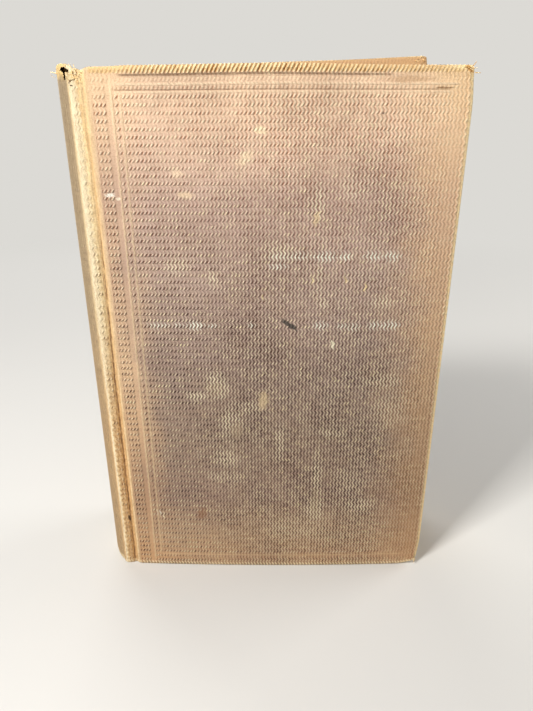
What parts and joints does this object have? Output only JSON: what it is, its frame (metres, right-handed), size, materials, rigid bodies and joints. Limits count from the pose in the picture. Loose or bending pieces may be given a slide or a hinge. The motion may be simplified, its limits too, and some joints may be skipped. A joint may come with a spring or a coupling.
{
  "type": "hardback book",
  "caption": "Worn cloth-bound hardback book standing on its tail, with a rounded hollow spine, grooved joints and covers that open.",
  "frame": {"origin": "on the shelf under the standing book, below the middle of the front board's width and of the page block's thickness", "axes": "+X from the spine to the fore-edge, +Y from the front cover to the back cover, +Z from tail to head"},
  "size_m": [0.1354, 0.0446, 0.1969],
  "materials": {
    "book_cloth": "faded, starched cotton cloth with a stamped wave grain",
    "pages": "trimmed, toned rag paper",
    "endpaper": "matt, foxed endpaper",
    "pasteboard": "rough, grey-brown pasteboard",
    "mull": "open-weave sized muslin",
    "lining_paper": "brown lining paper, glued",
    "inlay_paper": "stiff brown paper",
    "cord": "twisted hemp cord, frayed at the ends"
  },
  "bodies": {
    "text_block": {"page_block": "pages", "front_free_endpaper": "endpaper", "back_free_endpaper": "endpaper", "sewing_cords": "cord", "spine_mull": "mull", "spine_lining": "lining_paper", "spine_inlay": "inlay_paper", "spine_cloth": "book_cloth"},
    "front_cover": {"front_board": "pasteboard", "front_cloth": "book_cloth", "front_pastedown": "endpaper", "front_mull_flange": "mull", "front_cord_slips": "cord"},
    "back_cover": {"back_board": "pasteboard", "back_cloth": "book_cloth", "back_pastedown": "endpaper", "back_mull_flange": "mull", "back_cord_slips": "cord"}
  },
  "joints": [
    {"name": "front_joint", "type": "hinge", "parent": "text_block", "child": "front_cover", "pos_m": [-0.0618, -0.021, 0.096], "axis": [0, 0, -1], "range_deg": [0, 180]},
    {"name": "back_joint", "type": "hinge", "parent": "text_block", "child": "back_cover", "pos_m": [-0.0645, 0.021, 0.096], "axis": [0, 0, 1], "range_deg": [0, 180]}
  ]
}
